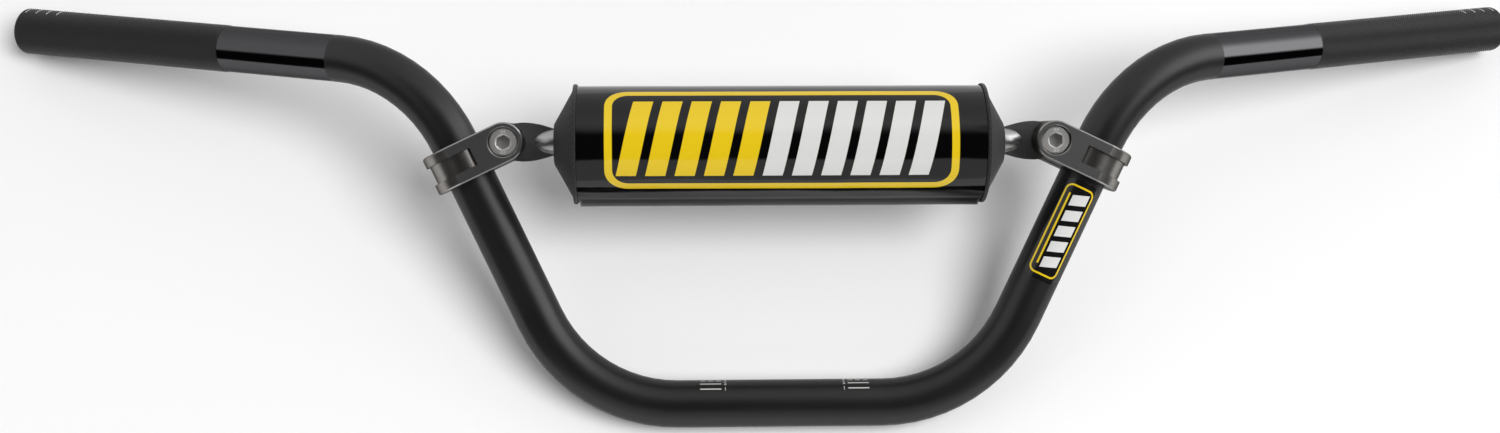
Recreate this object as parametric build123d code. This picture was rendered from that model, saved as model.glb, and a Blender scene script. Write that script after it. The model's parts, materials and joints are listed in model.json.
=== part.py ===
from build123d import *
from math import acos, cos, degrees, radians, sin, sqrt, tan
import os

# Motocross handlebar with a bolted crossbar and its pad, in millimetres.
# The origin is the middle of the straight section that the fork clamps hold.
# X runs along that section, Z goes up in the plane of the two legs, and the grips sweep back along +Y.

# Bar: its centre line is a line of corners joined by bends, the same on both sides
tube_diameter = 22.2
tube_wall = 4.0
tube_end_chamfer = 0.6
lower_corner_x = 93.0
upper_corner_x = 168.5
upper_corner_z = 159.0
tip_x = 372.5
tip_y = 81.0
tip_z = 180.0
lower_bend_radius = 71.0
clamp_to_bend = 0.2

# Crossbar: a tube whose ends are pressed into blades with an eye for the screw
crossbar_z = 123.2
crossbar_diameter = 12.7
crossbar_wall = 2.0
blade_thickness = 5.0
blade_width = 18.2
blade_straight = 8.0
blade_sink = 0.2
blade_root_slope = 0.3
eye_radius = 8.3
eye_gap = 2.2
nose_start = 12.8
nose_length = 11.6

# Clamps: a collar round the leg and a fork round the blade, in one piece
clamp_grip_clearance = 0.04
collar_wall = 5.7
collar_flat = 0.4
channel_height = 8.6
channel_depth = 1.6
channel_end = 6.8
ear_wall = 2.3
fork_clearance = 0.1
clamp_chamfer = 0.6
bore_chamfer = 0.5

# Clamp screws: M8 socket head cap screws
screw_diameter = 8.0
screw_length = 20.0
screw_head_diameter = 13.0
screw_head_height = 8.0
screw_head_chamfer = 0.7
screw_tip_chamfer = 1.0
hex_socket_flats = 6.0
hex_socket_depth = 4.2
hex_socket_lead = 0.35
head_recess = 0.9
counterbore_clearance = 0.35
counterbore_chamfer = 0.4
screw_hole_clearance = 0.25
thread_clearance = 0.02

# Pad: foam on the crossbar in a sewn cover that closes under it with hook and loop
pad_radius = 27.2
pad_drop = 1.1
pad_over_blade = 1.8
cover_thickness = 0.8
pad_clearance = 0.1
foam_bore_clearance = 0.15
foam_slit = 1.0
end_panel_depth = 10.0
end_panel_rim = 1.6
end_panel_hole_clearance = 0.6
strip_thickness = 0.45
strip_width = 20.0
strip_margin = 6.0
flap_lead = 4.0
flap_border = 2.5
flap_to_binding = 1.1
cover_gap = 5.0
cover_ramp = 7.5
binding_width = 1.8
binding_height = 0.7

# Decal: a film on the front of the right leg, below the clamp
decal_length = 50.0
decal_width = 17.0
decal_thickness = 0.12
decal_clearance = 0.03
decal_corner = 4.0
decal_to_clamp = 2.7

# How far a cutting shape stands out past what it cuts
cut_margin = 1.0

# Radii and faces that follow from these
tube_radius = tube_diameter / 2
crossbar_radius = crossbar_diameter / 2
screw_radius = screw_diameter / 2
blade_face = blade_thickness / 2
slot_face = blade_face + fork_clearance
screw_offset = tube_radius + eye_gap + eye_radius
collar_radius = tube_radius + collar_wall
collar_face = collar_radius - collar_flat
counterbore_radius = screw_head_diameter / 2 + counterbore_clearance
clamp_height = 2 * (counterbore_radius + ear_wall)
head_seat = collar_face - head_recess - screw_head_height
screw_hole_radius = screw_radius + screw_hole_clearance

# Corners of the right half's centre line
lower_corner = Vector(lower_corner_x, 0, 0)
upper_corner = Vector(upper_corner_x, 0, upper_corner_z)
tip = Vector(tip_x, tip_y, tip_z)
centre_direction = Vector(1, 0, 0)
leg_direction = (upper_corner - lower_corner).normalized()
grip_direction = (tip - upper_corner).normalized()

# The clamp sits where its screw comes level with the crossbar
screw_side = Vector(-leg_direction.Z, 0, leg_direction.X)
clamp_along = (crossbar_z - screw_offset * screw_side.Z) / leg_direction.Z
clamp_centre = lower_corner + leg_direction * clamp_along
clamp_plane = Plane(origin=clamp_centre, x_dir=screw_side, z_dir=leg_direction)
screw_x = (clamp_centre + screw_side * screw_offset).X

# The upper bend takes up the leg that is left above the clamp
clamp_top = clamp_along + clamp_height / 2
upper_tangent = (upper_corner - lower_corner).length - clamp_top - clamp_to_bend
upper_bend_radius = upper_tangent / tan(acos(leg_direction.dot(grip_direction)) / 2)
lower_tangent = lower_bend_radius * tan(acos(centre_direction.dot(leg_direction)) / 2)

# The pad reaches from one blade to the other
blade_root = nose_start + nose_length
pad_half_length = screw_x - blade_root + pad_over_blade - end_panel_depth
pad_z = crossbar_z - pad_drop
foam_radius = pad_radius - cover_thickness - pad_clearance
end_panel_hole = crossbar_radius + end_panel_hole_clearance
end_panel_radius = end_panel_hole + pad_drop + end_panel_rim
end_panel_inner = end_panel_radius - cover_thickness / 2


def pad_angle(width):
    """The angle that a width takes up round the pad."""
    return degrees(width / pad_radius)


# Angles round the pad, from straight down at 0 and turning to the rear
strip_start = 0.0
strip_end = pad_angle(strip_width)
wrap_start = -pad_angle(flap_lead)
wrap_end = wrap_start - pad_angle(cover_gap)
ramp_end = wrap_end + pad_angle(cover_ramp)
flap_end = strip_end + pad_angle(flap_border)
slit_angle = (wrap_start + wrap_end) / 2
loop_radius = pad_radius + pad_clearance
hook_radius = loop_radius + strip_thickness
flap_radius = hook_radius + strip_thickness + pad_clearance


def one_solid(shape):
    """The single solid of a finished piece."""
    solids = shape.solids()
    assert len(solids) == 1, f"{len(solids)} solids"
    return solids[0]


def to_left(shape):
    """The piece of the other side."""
    return mirror(shape, about=Plane.YZ)


def tube_ring(centre, direction):
    """The wall of the bar in section."""
    section = Plane(origin=centre, z_dir=direction)
    return section * (Circle(tube_radius) - Circle(tube_radius - tube_wall))


def tube_run(start, end):
    """One straight run of the bar."""
    return extrude(tube_ring(start, end - start), amount=(end - start).length)


def tube_bend(start, direction_in, direction_out, radius):
    """One bend of the bar, from the end of a run into the direction of the next."""
    turn = degrees(acos(direction_in.dot(direction_out)))
    normal = direction_in.cross(direction_out).normalized()
    centre = start + normal.cross(direction_in) * radius
    return revolve(tube_ring(start, direction_in), axis=Axis(centre, normal), revolution_arc=turn)


def make_bar():
    centre_end = lower_corner - centre_direction * lower_tangent
    leg_start = lower_corner + leg_direction * lower_tangent
    leg_end = upper_corner - leg_direction * upper_tangent
    grip_start = upper_corner + grip_direction * upper_tangent
    half = tube_run(Vector(0, 0, 0), centre_end)
    half += tube_bend(centre_end, centre_direction, leg_direction, lower_bend_radius)
    half += tube_run(leg_start, leg_end)
    half += tube_bend(leg_end, leg_direction, grip_direction, upper_bend_radius)
    half += tube_run(grip_start, tip)
    circles = half.edges().filter_by(GeomType.CIRCLE)
    rims = circles.filter_by(lambda edge: (edge.arc_center - tip).length < tube_end_chamfer)
    half = chamfer(rims, tube_end_chamfer)
    return one_solid(half + to_left(half))


def rod_with_noses(half_length, radius):
    """A round bar along X whose two ends are drawn out to a nose."""
    shoulder = half_length - nose_length
    right_half = make_face([
        Line((0, 0), (half_length, 0)),
        EllipticalCenterArc((shoulder, 0), nose_length, radius, start_angle=0, arc_size=90),
        Line((shoulder, radius), (0, radius)),
        Line((0, radius), (0, 0)),
    ])
    return revolve(right_half + mirror(right_half, about=Plane.YZ), axis=Axis.X)


def blade_outline():
    """The pressed end seen from the front, with its screw at the origin and the rod towards -X."""
    half_width = blade_width / 2
    root_width = sqrt(crossbar_radius**2 - blade_face**2) - blade_sink
    upper_half = make_face([
        Line((0, 0), (0, eye_radius)),
        Line((0, eye_radius), (-blade_straight, half_width)),
        Spline(
            (-blade_straight, half_width),
            (-blade_root, root_width),
            tangents=((-1, 0), (-1, -blade_root_slope)),
        ),
        Line((-blade_root, root_width), (-blade_root, 0)),
        Line((-blade_root, 0), (0, 0)),
    ])
    return upper_half + mirror(upper_half, about=Plane.XZ) + Circle(eye_radius)


def make_crossbar():
    rod = rod_with_noses(screw_x - nose_start, crossbar_radius)
    front = Plane(origin=(screw_x, 0, 0), x_dir=(1, 0, 0), z_dir=(0, -1, 0))
    pierced = blade_outline() - Circle(screw_hole_radius)
    blade = extrude(front * pierced, amount=blade_face, both=True)
    cavity = Rot(0, 90, 0) * Cylinder(crossbar_radius - crossbar_wall, 2 * (screw_x - blade_root))
    bar = rod + blade + to_left(blade) - cavity
    return one_solid(Pos(0, 0, crossbar_z) * bar)


def fork_block():
    """The clamp before it is bored: a round collar with flat sides that run on into the rounded fork."""
    end = screw_offset + clamp_height / 2
    plan = extrude(Circle(collar_radius), amount=clamp_height / 2, both=True)
    plan = chamfer(plan.edges().filter_by(GeomType.CIRCLE), clamp_chamfer)
    plan += Pos(end / 2, 0, 0) * Box(end, 2 * collar_face, clamp_height)
    reach = screw_offset + 2 * collar_radius
    outline = Pos(screw_offset - reach / 2, 0) * Rectangle(reach, clamp_height)
    outline += Pos(screw_offset, 0) * Circle(clamp_height / 2)
    side = extrude(Plane.XZ * outline, amount=collar_face, both=True)
    rims = side.faces().filter_by(Axis.Y).edges()
    rims = rims.filter_by(lambda edge: edge.center().X > -collar_radius)
    return plan & chamfer(rims, clamp_chamfer)


def clamp_channel():
    """The groove turned round the back of the collar, which stops in a step before the fork."""
    outer = collar_radius + cut_margin
    ring = Circle(outer) - Circle(collar_radius - channel_depth)
    window = Pos((channel_end - outer) / 2, 0) * Rectangle(channel_end + outer, 2 * outer)
    return extrude(ring & window, amount=channel_height / 2, both=True)


def clamp_bore():
    """The bore for the leg, with a chamfer at each mouth."""
    radius = tube_radius + clamp_grip_clearance
    mouth = Pos(0, 0, (clamp_height - bore_chamfer) / 2) * Cone(radius, radius + bore_chamfer, bore_chamfer)
    return Cylinder(radius, clamp_height + cut_margin) + mouth + mirror(mouth, about=Plane.XY)


def on_screw(shape, height):
    """Stands a shape made along Z on the screw's axis, its middle at a height above the leg plane."""
    return Pos(screw_offset, height, 0) * Rot(-90, 0, 0) * shape


def screw_holes():
    """Counterbore and clearance hole in the front ear, tapped hole in the rear ear."""
    depth = collar_face - head_seat + cut_margin
    holes = on_screw(Cylinder(counterbore_radius, depth), head_seat + depth / 2)
    mouth = Cone(counterbore_radius, counterbore_radius + counterbore_chamfer, counterbore_chamfer)
    holes += on_screw(mouth, collar_face - counterbore_chamfer / 2)
    holes += on_screw(Cylinder(screw_hole_radius, head_seat), head_seat / 2)
    tapped = collar_face + cut_margin
    holes += on_screw(Cylinder(screw_radius + thread_clearance, tapped), -tapped / 2)
    return holes


def make_clamp():
    """The right clamp, made with Z along the leg, X to the screw and Y to the screw's head."""
    reach = screw_offset + clamp_height / 2 + cut_margin
    slot = Pos(reach / 2, 0, 0) * Box(reach, 2 * slot_face, clamp_height + cut_margin)
    clamp = fork_block() - clamp_channel() - clamp_bore() - slot - screw_holes()
    return one_solid(clamp_plane.location * clamp)


def make_screw():
    """A socket head cap screw, made along Z with its head up and the seat of the head at Z = 0."""
    head = extrude(Circle(screw_head_diameter / 2), amount=screw_head_height)
    head = chamfer(head.edges().group_by(Axis.Z)[-1], screw_head_chamfer)
    hexagon = RegularPolygon(hex_socket_flats / 2, 6, major_radius=False)
    head -= Pos(0, 0, screw_head_height) * extrude(hexagon, amount=-hex_socket_depth)
    corner_radius = hex_socket_flats / 2 / cos(radians(30))
    lead = Cone(corner_radius - hex_socket_lead, corner_radius + hex_socket_lead, 2 * hex_socket_lead)
    head -= Pos(0, 0, screw_head_height - hex_socket_lead) * lead
    shank = extrude(Circle(screw_radius), amount=-screw_length)
    shank = chamfer(shank.edges().group_by(Axis.Z)[0], screw_tip_chamfer)
    return one_solid(clamp_plane.location * on_screw(head + shank, head_seat))


def pad_direction(angle):
    """The direction of an angle round the pad, in its section."""
    return Vector(sin(radians(angle)), -cos(radians(angle)))


def arc_round_pad(radius, start, end):
    """An arc of the pad's section from one angle to another."""
    through = [pad_direction(angle) * radius for angle in (start, (start + end) / 2, end)]
    return ThreePointArc(*through)


def arc_band(inner, outer, start, end):
    """A strip of the pad's section between two radii and two angles."""
    return make_face([
        arc_round_pad(inner, start, end),
        Line(pad_direction(end) * inner, pad_direction(end) * outer),
        arc_round_pad(outer, end, start),
        Line(pad_direction(start) * outer, pad_direction(start) * inner),
    ])


def along_pad(section, half_length):
    """Draws a section in the YZ plane out along the pad, both ways from its middle."""
    plane = Plane(origin=(0, 0, pad_z), x_dir=(0, 1, 0), z_dir=(1, 0, 0))
    return extrude(plane * section, amount=half_length, both=True)


def make_cover():
    """The vinyl panel: once round the foam, then stepped out into the flap that covers the strips."""
    inner = pad_radius - cover_thickness
    flap_outer = flap_radius + cover_thickness
    wrap = arc_band(inner, pad_radius, wrap_start, 360 + wrap_end)
    ramp = make_face(
        Polyline(
            pad_direction(wrap_end) * inner,
            pad_direction(wrap_end) * pad_radius,
            pad_direction(ramp_end) * flap_outer,
            pad_direction(ramp_end) * flap_radius,
            close=True,
        )
    )
    flap = ramp + arc_band(flap_radius, flap_outer, ramp_end, flap_end)
    flap_margin = binding_width / 2 + flap_to_binding
    return one_solid(along_pad(wrap, pad_half_length) + along_pad(flap, pad_half_length - flap_margin))


def make_strip(radius):
    """One half of the hook and loop closure."""
    band = arc_band(radius, radius + strip_thickness, strip_start, strip_end)
    return one_solid(along_pad(band, pad_half_length - strip_margin))


def slit_cutter():
    """The cut under the crossbar through which the pad goes over it."""
    reach = 2 * pad_radius
    cut = Rot(0, 0, slit_angle) * Pos(0, -reach / 2) * Rectangle(foam_slit, reach)
    return along_pad(cut, pad_half_length + end_panel_depth + cut_margin)


def on_pad_axis(profile):
    """Turns a profile about the pad's axis."""
    return Pos(0, 0, pad_z) * revolve(profile, axis=Axis.X)


def make_foam():
    end = pad_half_length + end_panel_depth - cover_thickness - pad_clearance
    end_radius = end_panel_inner - 2 * pad_clearance
    outline = make_face(
        Polyline(
            (-end, 0),
            (-end, end_radius),
            (-pad_half_length, foam_radius),
            (pad_half_length, foam_radius),
            (end, end_radius),
            (end, 0),
            close=True,
        )
    )
    bore = Cylinder(crossbar_radius + foam_bore_clearance, 2 * (end + cut_margin))
    bore = Pos(0, 0, crossbar_z) * Rot(0, 90, 0) * bore
    return one_solid(on_pad_axis(outline) - bore - slit_cutter())


def make_end_panel():
    """The right end panel: a cone of fabric with a flat end that the crossbar comes through."""
    end = pad_half_length + end_panel_depth
    profile = make_face(
        Polyline(
            (pad_half_length, pad_radius),
            (end, end_panel_radius),
            (end, 0),
            (end - cover_thickness, 0),
            (end - cover_thickness, end_panel_inner),
            (pad_half_length, pad_radius - cover_thickness),
            close=True,
        )
    )
    hole = Pos(end, 0, crossbar_z) * Rot(0, 90, 0) * Cylinder(end_panel_hole, 2 * end_panel_depth)
    return one_solid(on_pad_axis(profile) - hole - slit_cutter())


def make_binding():
    """The tape folded over the seam between the cover and the end panel."""
    inner = pad_radius + pad_clearance
    tape = Pos(pad_half_length, inner + binding_height / 2) * Rectangle(binding_width, binding_height)
    return one_solid(on_pad_axis(tape) - slit_cutter())


def make_decal():
    """A thin film bent round the front of the right leg."""
    along = clamp_along - clamp_height / 2 - decal_to_clamp - decal_length / 2
    leg = Plane(origin=lower_corner + leg_direction * along, x_dir=screw_side, z_dir=leg_direction)
    inner = tube_radius + decal_clearance
    sleeve = Circle(inner + decal_thickness) - Circle(inner)
    film = extrude(sleeve, amount=decal_length / 2, both=True)
    window = Plane.XZ * RectangleRounded(decal_width, decal_length, decal_corner)
    return one_solid(leg.location * (film & extrude(window, amount=-tube_diameter)))


pieces = {
    "bar_tube": make_bar(),
    "crossbar": make_crossbar(),
    "clamp_right": make_clamp(),
    "clamp_screw_right": make_screw(),
    "pad_foam": make_foam(),
    "pad_cover": make_cover(),
    "pad_loop_strip": make_strip(loop_radius),
    "pad_hook_strip": make_strip(hook_radius),
    "pad_end_panel_right": make_end_panel(),
    "pad_binding_right": make_binding(),
    "leg_decal": make_decal(),
}
for name in ("clamp", "clamp_screw", "pad_end_panel", "pad_binding"):
    pieces[f"{name}_left"] = one_solid(to_left(pieces[f"{name}_right"]))

print("upper bend radius", round(upper_bend_radius, 1), "pad length", round(2 * pad_half_length, 1))
os.makedirs("parts", exist_ok=True)
for name, piece in pieces.items():
    export_step(piece, f"parts/{name}.step")
    print(name, round(piece.volume), "cubic mm")
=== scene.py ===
# %% [markdown]
# # Motocross handlebar
# The CAD model gives every rigid piece its shape. This lesson dresses it: the blasted black tube with its
# knurled ends, the machined clamps, the bright screws and the pad, which is foam in a glossy vinyl cover.
# The frame comes first, because every piece that follows is placed from it.

# %% Load the frame
import json
import math

import bmesh
import bpy
from mathutils import Matrix, Vector, noise


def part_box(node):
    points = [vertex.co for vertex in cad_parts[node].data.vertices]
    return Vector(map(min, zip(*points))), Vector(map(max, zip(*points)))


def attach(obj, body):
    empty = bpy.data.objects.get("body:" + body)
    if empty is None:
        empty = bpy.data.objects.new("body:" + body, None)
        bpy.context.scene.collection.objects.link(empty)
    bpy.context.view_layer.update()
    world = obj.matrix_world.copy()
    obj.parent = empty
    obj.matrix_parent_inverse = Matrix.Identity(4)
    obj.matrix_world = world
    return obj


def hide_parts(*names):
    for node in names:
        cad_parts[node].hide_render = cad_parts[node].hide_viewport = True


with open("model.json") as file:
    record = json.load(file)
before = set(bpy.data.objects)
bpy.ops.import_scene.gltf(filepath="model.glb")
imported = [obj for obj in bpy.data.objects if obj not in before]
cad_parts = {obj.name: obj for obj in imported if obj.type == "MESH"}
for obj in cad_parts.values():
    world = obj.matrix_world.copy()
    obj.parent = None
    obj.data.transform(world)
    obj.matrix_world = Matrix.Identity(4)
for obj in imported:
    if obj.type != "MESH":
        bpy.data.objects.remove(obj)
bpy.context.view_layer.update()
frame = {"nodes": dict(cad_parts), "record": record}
nodes = frame["nodes"]
mounts = {mount["name"]: mount for mount in frame["record"]["mounts"]}
scene = bpy.context.scene
mm = 0.001
up = Vector((0, 0, 1))
along_x = Vector((1, 0, 0))

# %% [markdown]
# The dressing shares its sizes with the CAD model. The frame gives most of them: the tube's radius and the
# grips' axes come from the mounts, and the places of the pad, the screws and the decal from their boxes.
# Only the two corners of the leg's centre line are repeated here as numbers.

# %% Sizes of the bar, the clamps and the screws
def middle_and_half(name):
    """The middle and the half size of a CAD node's box."""
    low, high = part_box(name)
    return (low + high) / 2, (high - low) / 2


tube_radius = mounts["bar_clamp"]["dims"]["r_mm"] * mm
grip_mount = mounts["grip_end_right"]
grip_axis = Vector(grip_mount["axis"]).normalized()
knurl_end = Vector(grip_mount["pos_m"]) + grip_axis * grip_mount["dims"]["length_mm"] * mm / 2
grip_level = up.cross(grip_axis).normalized()
grip_upright = grip_axis.cross(grip_level)

lower_corner = Vector((93.0, 0.0, 0.0)) * mm
upper_corner = Vector((168.5, 0.0, 159.0)) * mm
leg_axis = (upper_corner - lower_corner).normalized()
screw_side = Vector((-leg_axis.z, 0.0, leg_axis.x))

screw_middle, screw_half = middle_and_half("clamp_screw_right")
screw_x = screw_middle.x
screw_z = screw_middle.z
screw_face_y = screw_middle.y - screw_half.y
collar_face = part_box("clamp_right")[1].y
screw_point = Vector((screw_x, 0, screw_z))
clamp_centre = screw_point - screw_side * (screw_point - lower_corner).dot(screw_side)
print("screw at x, z in mm:", round(screw_x / mm, 2), round(screw_z / mm, 2))

# %% [markdown]
# The pad is round about its own axis. Its vinyl starts a little in front of the lowest line, goes once
# round, steps out over the closing strips and ends as a flap at the rear. These stretches are lengths on
# the pad's skin. Divided by its radius they are angles, which start straight down and turn to the rear.

# %% Sizes of the pad
panel_middle, panel_half = middle_and_half("pad_end_panel_right")
pad_centre_z = panel_middle.z
pad_radius = panel_half.z
pad_half_length = panel_middle.x - panel_half.x
panel_end_x = panel_middle.x + panel_half.x
strip_half_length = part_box("pad_hook_strip")[1].x
flap_radius = pad_centre_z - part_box("pad_cover")[0].z
cover_thickness = 0.8 * mm
print("pad radius", round(pad_radius / mm, 2), "half length", round(pad_half_length / mm, 2))

wrap_lead = 4.0 * mm
slit_width = 5.0 * mm
ramp_length = 7.5 * mm
strip_width = 20.0 * mm
flap_overlap = 2.5 * mm

wrap_start = -wrap_lead / pad_radius
wrap_end = wrap_start - slit_width / pad_radius + 2 * math.pi
ramp_end = wrap_end + ramp_length / pad_radius
strip_end = strip_width / pad_radius
flap_end = strip_end + flap_overlap / pad_radius + 2 * math.pi
slit_angle = wrap_start - slit_width / 2 / pad_radius


def outward_at(angle):
    """The direction away from the pad's axis."""
    return Vector((0, math.sin(angle), -math.cos(angle)))


def around_pad(angle, radius, x):
    """A point of the pad's round body."""
    return Vector((x, 0, pad_centre_z)) + outward_at(angle) * radius


# %% [markdown]
# Materials are small node trees, so a few helpers keep them short. `put` adds a node and fills its sockets.
# Most others add their node to the tree of the sockets they are given, such as `calc`, which is a step of
# arithmetic. Masks are numbers from 0 to 1, and mixing by a mask gives a piece more than one finish.

# %% Helpers for node trees
def fill(socket, value):
    """Sets a socket, or links it where the value is another node's socket."""
    if isinstance(value, bpy.types.NodeSocket):
        socket.id_data.links.new(value, socket)
    else:
        socket.default_value = value


def put(tree, kind, sockets=(), **settings):
    """Adds a node with its settings and fills its sockets."""
    node = tree.nodes.new(kind)
    for name, value in settings.items():
        setattr(node, name, value)
    for name, value in dict(sockets).items():
        fill(node.inputs[name], value)
    return node


def tree_of(values):
    """The tree of the first socket among the values."""
    return next(value.id_data for value in values if isinstance(value, bpy.types.NodeSocket))


def put_after(kind, sockets, **settings):
    """Adds a node to the tree of the sockets that it is given."""
    return put(tree_of(sockets.values()), kind, sockets, **settings)


def calc(operation, *values):
    """One step of arithmetic on sockets and numbers."""
    return put_after("ShaderNodeMath", dict(enumerate(values)), operation=operation).outputs[0]


def product(*factors):
    """All the factors multiplied together."""
    result = factors[0]
    for factor in factors[1:]:
        result = calc("MULTIPLY", result, factor)
    return result


def vector_calc(operation, *values):
    """One step of arithmetic on vectors. A dot product or a length comes out as a number."""
    node = put_after("ShaderNodeVectorMath", dict(enumerate(values)), operation=operation)
    return node.outputs["Value" if operation in ("DOT_PRODUCT", "LENGTH") else "Vector"]


def split(vector):
    """The three numbers of a vector."""
    return put_after("ShaderNodeSeparateXYZ", {0: vector}).outputs


def join(x=0.0, y=0.0, z=0.0):
    """A vector made of three numbers."""
    return put_after("ShaderNodeCombineXYZ", {0: x, 1: y, 2: z}).outputs[0]


def ramp(value, low, high):
    """0 at low and 1 at high, with a soft step between. It falls where low is above high."""
    sockets = {"Value": value, "From Min": low, "From Max": high}
    return put_after("ShaderNodeMapRange", sockets, interpolation_type="SMOOTHSTEP").outputs["Result"]


def window(value, low, high, soft):
    """1 between low and high, and 0 outside."""
    return product(ramp(value, low - soft, low), ramp(value, high + soft, high))


def mix_colour(mask, first, second):
    """The first colour where the mask is 0 and the second where it is 1."""
    return put_after("ShaderNodeMix", {"Factor": mask, 6: first, 7: second}, data_type="RGBA").outputs[2]


def mix_value(mask, first, second):
    """The first number where the mask is 0 and the second where it is 1."""
    return put_after("ShaderNodeMix", {"Factor": mask, 2: first, 3: second}).outputs[0]


def noise_on(vector, scale, detail, roughness=0.5):
    """A random height from 0 to 1 that changes with the vector."""
    sockets = {"Vector": vector, "Scale": scale, "Detail": detail, "Roughness": roughness}
    return put_after("ShaderNodeTexNoise", sockets).outputs[0]


def bump(height, distance):
    """Turns a height into a normal. The distance is how deep the relief is, in metres."""
    return put_after("ShaderNodeBump", {"Height": height, "Distance": distance}).outputs["Normal"]


def new_material(name):
    """An empty material with its surface shader, and the place on the piece in metres."""
    material = bpy.data.materials.new(name)
    material.use_nodes = True
    surface = material.node_tree.nodes["Principled BSDF"]
    place = put(material.node_tree, "ShaderNodeTexCoord").outputs["Object"]
    return material, surface, place


def connect(node, **sockets):
    """Fills a node's sockets. An underscore in a name stands for a space."""
    for name, value in sockets.items():
        fill(node.inputs[name.replace("_", " ")], value)


def new_group(name, vectors, numbers, results):
    """A shader node group. It is given vectors and numbers, and its results are numbers."""
    tree = bpy.data.node_groups.new(name, "ShaderNodeTree")
    kinds = (("INPUT", "Vector", vectors), ("INPUT", "Float", numbers), ("OUTPUT", "Float", results))
    for side, kind, sockets in kinds:
        for socket in sockets:
            tree.interface.new_socket(socket, in_out=side, socket_type="NodeSocket" + kind)
    print("group", name, "gives", ", ".join(results))
    return tree, tree.nodes.new("NodeGroupInput").outputs, tree.nodes.new("NodeGroupOutput").inputs


def use_group(group, **sockets):
    """Places a group in the tree of its sockets and returns its outputs."""
    node = tree_of(sockets.values()).nodes.new("ShaderNodeGroup")
    node.node_tree = group
    connect(node, **sockets)
    return node.outputs


def edge_mask(material):
    """0 where a surface faces the eye and 1 where it turns away, towards its outline."""
    facing = put(material.node_tree, "ShaderNodeLayerWeight", {"Blend": 0.5}).outputs["Facing"]
    return ramp(facing, 0.2, 0.65)


def dress(material, *names):
    """Gives CAD nodes their finish."""
    for name in names:
        nodes[name].data.materials.clear()
        nodes[name].data.materials.append(material)
    print(material.name, "on", ", ".join(names))


# %% [markdown]
# The handlebar is the same on both sides, but its patterns are laid out for the right one. The first group
# folds the left side over by taking the size of X, and then measures from a point along three directions.
# Grips use it along their own axis, and clamps and the decal use it along the leg.

# %% Group that measures along a piece of either side
def make_side_frame():
    vectors = ("Place", "Origin", "Along axis", "Across axis")
    tree, given, result = new_group("side_frame", vectors, (), ("Along", "Across", "Front"))
    parts = split(given["Place"])
    folded = join(calc("ABSOLUTE", parts[0]), parts[1], parts[2])
    offset = vector_calc("SUBTRACT", folded, given["Origin"])
    third = vector_calc("CROSS_PRODUCT", given["Across axis"], given["Along axis"])
    for name, axis in (("Along", given["Along axis"]), ("Across", given["Across axis"]), ("Front", third)):
        tree.links.new(vector_calc("DOT_PRODUCT", offset, axis), result[name])
    return tree


side_frame = make_side_frame()
grip_axes = {"Along_axis": -grip_axis, "Across_axis": grip_upright}
leg_axes = {"Along_axis": leg_axis, "Across_axis": screw_side}

# %% [markdown]
# Blasting leaves a fine random grain that is too small to model. One group makes it from two noises, a fine
# one for the grain itself and a coarse one that lets the colour drift a little, as dyed metal does.

# %% Group for a blasted grain
def make_blasted_grain():
    tree, given, result = new_group("blasted_grain", ("Place",), ("Grain",), ("Height", "Drift"))
    fine = noise_on(given["Place"], calc("DIVIDE", 1.0, given["Grain"]), 2.0)
    coarse = noise_on(given["Place"], 35.0, 3.0)
    tree.links.new(fine, result["Height"])
    tree.links.new(coarse, result["Drift"])
    return tree


blasted_grain = make_blasted_grain()


def grain_on(place, size):
    """The blasted grain on a piece, in grains of one size."""
    return use_group(blasted_grain, Place=place, Grain=size)


# %% [markdown]
# Lathe and mill leave fine parallel lines across the direction of the cut. The group stretches a noise so
# that it changes quickly along one coordinate and hardly at all along the other.

# %% Group for tool marks
def make_tool_marks():
    numbers = ("Across cut", "Along cut", "Pitch")
    tree, given, result = new_group("tool_marks", (), numbers, ("Height",))
    quick = calc("DIVIDE", given["Across cut"], given["Pitch"])
    slow = product(given["Along cut"], 60.0)
    tree.links.new(noise_on(join(quick, slow), 1.0, 3.0, 0.6), result["Height"])
    return tree


tool_marks = make_tool_marks()

# %% [markdown]
# The end panels and the tapes are woven. A woven surface is a chequer of small humps, where one thread goes
# over the other, so the group multiplies two waves. A fine noise is added for the loose fibres.

# %% Group for a weave
def make_weave():
    numbers = ("Warp", "Weft", "Thread")
    tree, given, result = new_group("weave", ("Place",), numbers, ("Height", "Fibres"))
    turn = calc("DIVIDE", math.pi, given["Thread"])
    warp = calc("SINE", product(given["Warp"], turn))
    weft = calc("SINE", product(given["Weft"], turn))
    hump = calc("MULTIPLY_ADD", product(warp, weft), 0.5, 0.5)
    loose = noise_on(given["Place"], 1400.0, 3.0)
    tree.links.new(calc("MULTIPLY_ADD", loose, 0.5, hump), result["Height"])
    tree.links.new(loose, result["Fibres"])
    return tree


weave = make_weave()

# %% [markdown]
# Printed borders need to know how far a point is from the edge of a rounded rectangle. This group gives
# that distance, below zero inside the shape, from the place across and along it. The pad and the decal
# share one pattern of a border with leaning bars, and a modulo of the place repeats the bars.

# %% Group for a rounded rectangle, and the printed pattern
def make_rounded_distance():
    lengths = ("Across", "Along", "Half width", "Half length", "Corner")
    tree, given, result = new_group("rounded_distance", (), lengths, ("Distance",))
    sides = []
    for place, half in (("Across", "Half width"), ("Along", "Half length")):
        inner = calc("SUBTRACT", given[half], given["Corner"])
        sides.append(calc("SUBTRACT", calc("ABSOLUTE", given[place]), inner))
    beyond = [calc("MAXIMUM", side, 0.0) for side in sides]
    outside = vector_calc("LENGTH", join(*beyond))
    inside = calc("MINIMUM", calc("MAXIMUM", *sides), 0.0)
    total = calc("ADD", outside, inside)
    tree.links.new(calc("SUBTRACT", total, given["Corner"]), result["Distance"])
    return tree


rounded_distance = make_rounded_distance()


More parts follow.
